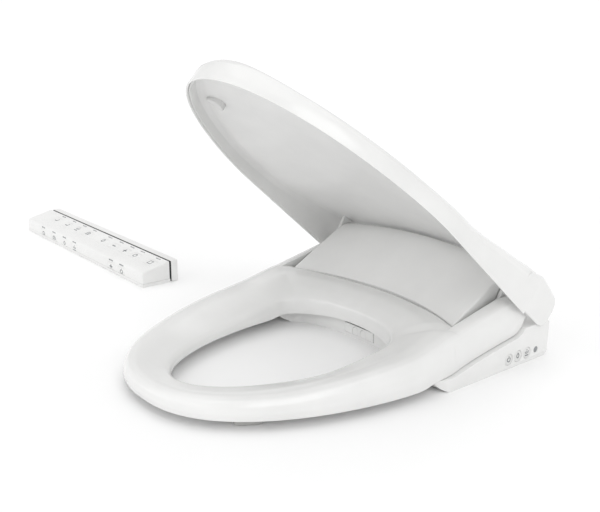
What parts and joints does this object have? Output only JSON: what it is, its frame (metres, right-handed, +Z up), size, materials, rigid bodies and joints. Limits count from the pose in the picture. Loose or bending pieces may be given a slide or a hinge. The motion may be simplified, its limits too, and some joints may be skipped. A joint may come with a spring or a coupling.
{
  "type": "electric bidet seat",
  "caption": "Electric bidet seat: heated ring and half-open lid on one hinge line, slim rear unit with wash nozzles, and a bar remote on its holder.",
  "frame": {"origin": "on the resting surface, midway between the two mounting bolts, at the underside of the mounting plate", "axes": "+Z up, front of the seat towards -Y, +X to the right when looking along +Y"},
  "size_m": [1.0635, 0.523, 0.394],
  "materials": {
    "white_shell": "gloss moulded polypropylene",
    "soft_white": "satin moulded polypropylene",
    "grey_rubber": "matt elastomer",
    "steel": "turned stainless steel",
    "brass": "machined brass",
    "circuit_board": "lacquered glass-epoxy board",
    "dark_plastic": "matt black moulding",
    "heater_foil": "foil heater sheet",
    "nylon": "glass-filled nylon"
  },
  "bodies": {
    "base": {"base_lower_case": "white_shell", "base_top_cover": "white_shell", "mounting_plate": "nylon", "mounting_bolt_left": "steel", "mounting_bolt_right": "steel", "hinge_pin_left": "steel", "hinge_pin_right": "steel", "hinge_post_left": "nylon", "hinge_post_right": "nylon", "lid_damper": "nylon", "seat_damper": "nylon", "nozzle_guide": "nylon", "nozzle_drive_motor": "dark_plastic", "heater_tank": "soft_white", "water_valve": "nylon", "control_board": "circuit_board", "water_inlet_fitting": "brass", "cord_gland": "grey_rubber", "fan_housing": "nylon", "fan_motor": "dark_plastic", "deodoriser_filter": "dark_plastic", "side_indicator_lens": "dark_plastic", "remote_wall_holder": "soft_white"},
    "seat": {"seat_ring_upper": "white_shell", "seat_ring_lower": "soft_white", "seat_heater_film": "heater_foil", "seat_bumper_1": "grey_rubber", "seat_bumper_2": "grey_rubber", "seat_bumper_3": "grey_rubber", "seat_bumper_4": "grey_rubber"},
    "lid": {"lid_outer_shell": "white_shell", "lid_inner_panel": "soft_white", "lid_bumper_left": "grey_rubber", "lid_bumper_right": "grey_rubber"},
    "rear_nozzle": {"rear_wash_nozzle": "soft_white"},
    "front_nozzle": {"front_wash_nozzle": "soft_white"},
    "nozzle_door": {"nozzle_door": "white_shell"},
    "fan_impeller": {"fan_impeller": "dark_plastic"},
    "remote": {"remote_case_upper": "white_shell", "remote_case_lower": "white_shell", "remote_battery_door": "white_shell", "remote_board": "circuit_board"},
    "side_button_1": {"side_button_1": "soft_white"},
    "side_button_2": {"side_button_2": "soft_white"},
    "side_button_3": {"side_button_3": "soft_white"},
    "remote_top_key_1": {"remote_top_key_1": "soft_white"},
    "remote_top_key_2": {"remote_top_key_2": "soft_white"},
    "remote_top_key_3": {"remote_top_key_3": "soft_white"},
    "remote_top_key_4": {"remote_top_key_4": "soft_white"},
    "remote_top_key_5": {"remote_top_key_5": "soft_white"},
    "remote_top_key_6": {"remote_top_key_6": "soft_white"},
    "remote_top_key_7": {"remote_top_key_7": "soft_white"},
    "remote_top_key_8": {"remote_top_key_8": "soft_white"},
    "remote_top_key_9": {"remote_top_key_9": "soft_white"},
    "remote_front_key_1": {"remote_front_key_1": "soft_white"},
    "remote_front_key_2": {"remote_front_key_2": "soft_white"},
    "remote_front_key_3": {"remote_front_key_3": "soft_white"},
    "remote_front_key_4": {"remote_front_key_4": "soft_white"},
    "remote_front_key_5": {"remote_front_key_5": "soft_white"},
    "remote_front_key_6": {"remote_front_key_6": "soft_white"}
  },
  "joints": [
    {"name": "seat_hinge", "type": "hinge", "parent": "base", "child": "seat", "pos_m": [0, -0.03, 0.066], "axis": [-1, 0, 0], "range_deg": [0, 48]},
    {"name": "lid_hinge", "type": "hinge", "parent": "base", "child": "lid", "pos_m": [0, -0.03, 0.066], "axis": [-1, 0, 0], "range_deg": [-48.5, 57]},
    {"name": "rear_nozzle_slide", "type": "slide", "parent": "base", "child": "rear_nozzle", "axis": [0, -0.9994, -0.0349], "range_m": [0, 0.088]},
    {"name": "front_nozzle_slide", "type": "slide", "parent": "base", "child": "front_nozzle", "axis": [0, -0.9994, -0.0349], "range_m": [0, 0.088]},
    {"name": "nozzle_door_hinge", "type": "hinge", "parent": "base", "child": "nozzle_door", "pos_m": [0, -0.1234, 0.0188], "axis": [-1, 0, 0], "range_deg": [0, 75]},
    {"name": "fan_spin", "type": "hinge", "parent": "base", "child": "fan_impeller", "pos_m": [0.08, 0.008, 0.02], "axis": [0, 0, 1], "continuous": true},
    {"name": "remote_off_holder", "type": "slide", "parent": "base", "child": "remote", "axis": [0, -1, 0], "range_m": [0, 0.08]},
    {"name": "side_button_1_press", "type": "slide", "parent": "base", "child": "side_button_1", "axis": [-1, 0, 0], "range_m": [0, 0.0008], "stiffness_N_per_m": 400},
    {"name": "side_button_2_press", "type": "slide", "parent": "base", "child": "side_button_2", "axis": [-1, 0, 0], "range_m": [0, 0.0008], "stiffness_N_per_m": 400},
    {"name": "side_button_3_press", "type": "slide", "parent": "base", "child": "side_button_3", "axis": [-1, 0, 0], "range_m": [0, 0.0008], "stiffness_N_per_m": 400},
    {"name": "remote_top_key_1_press", "type": "slide", "parent": "remote", "child": "remote_top_key_1", "axis": [0, 0.2296, -0.9733], "range_m": [0, 0.0008], "stiffness_N_per_m": 400},
    {"name": "remote_top_key_2_press", "type": "slide", "parent": "remote", "child": "remote_top_key_2", "axis": [0, 0.2296, -0.9733], "range_m": [0, 0.0008], "stiffness_N_per_m": 400},
    {"name": "remote_top_key_3_press", "type": "slide", "parent": "remote", "child": "remote_top_key_3", "axis": [0, 0.2296, -0.9733], "range_m": [0, 0.0008], "stiffness_N_per_m": 400},
    {"name": "remote_top_key_4_press", "type": "slide", "parent": "remote", "child": "remote_top_key_4", "axis": [0, 0.2296, -0.9733], "range_m": [0, 0.0008], "stiffness_N_per_m": 400},
    {"name": "remote_top_key_5_press", "type": "slide", "parent": "remote", "child": "remote_top_key_5", "axis": [0, 0.2296, -0.9733], "range_m": [0, 0.0008], "stiffness_N_per_m": 400},
    {"name": "remote_top_key_6_press", "type": "slide", "parent": "remote", "child": "remote_top_key_6", "axis": [0, 0.2296, -0.9733], "range_m": [0, 0.0008], "stiffness_N_per_m": 400},
    {"name": "remote_top_key_7_press", "type": "slide", "parent": "remote", "child": "remote_top_key_7", "axis": [0, 0.2296, -0.9733], "range_m": [0, 0.0008], "stiffness_N_per_m": 400},
    {"name": "remote_top_key_8_press", "type": "slide", "parent": "remote", "child": "remote_top_key_8", "axis": [0, 0.2296, -0.9733], "range_m": [0, 0.0008], "stiffness_N_per_m": 400},
    {"name": "remote_top_key_9_press", "type": "slide", "parent": "remote", "child": "remote_top_key_9", "axis": [0, 0.2296, -0.9733], "range_m": [0, 0.0008], "stiffness_N_per_m": 400},
    {"name": "remote_front_key_1_press", "type": "slide", "parent": "remote", "child": "remote_front_key_1", "axis": [0, 1, 0], "range_m": [0, 0.0008], "stiffness_N_per_m": 400},
    {"name": "remote_front_key_2_press", "type": "slide", "parent": "remote", "child": "remote_front_key_2", "axis": [0, 1, 0], "range_m": [0, 0.0008], "stiffness_N_per_m": 400},
    {"name": "remote_front_key_3_press", "type": "slide", "parent": "remote", "child": "remote_front_key_3", "axis": [0, 1, 0], "range_m": [0, 0.0008], "stiffness_N_per_m": 400},
    {"name": "remote_front_key_4_press", "type": "slide", "parent": "remote", "child": "remote_front_key_4", "axis": [0, 1, 0], "range_m": [0, 0.0008], "stiffness_N_per_m": 400},
    {"name": "remote_front_key_5_press", "type": "slide", "parent": "remote", "child": "remote_front_key_5", "axis": [0, 1, 0], "range_m": [0, 0.0008], "stiffness_N_per_m": 400},
    {"name": "remote_front_key_6_press", "type": "slide", "parent": "remote", "child": "remote_front_key_6", "axis": [0, 1, 0], "range_m": [0, 0.0008], "stiffness_N_per_m": 400}
  ]
}
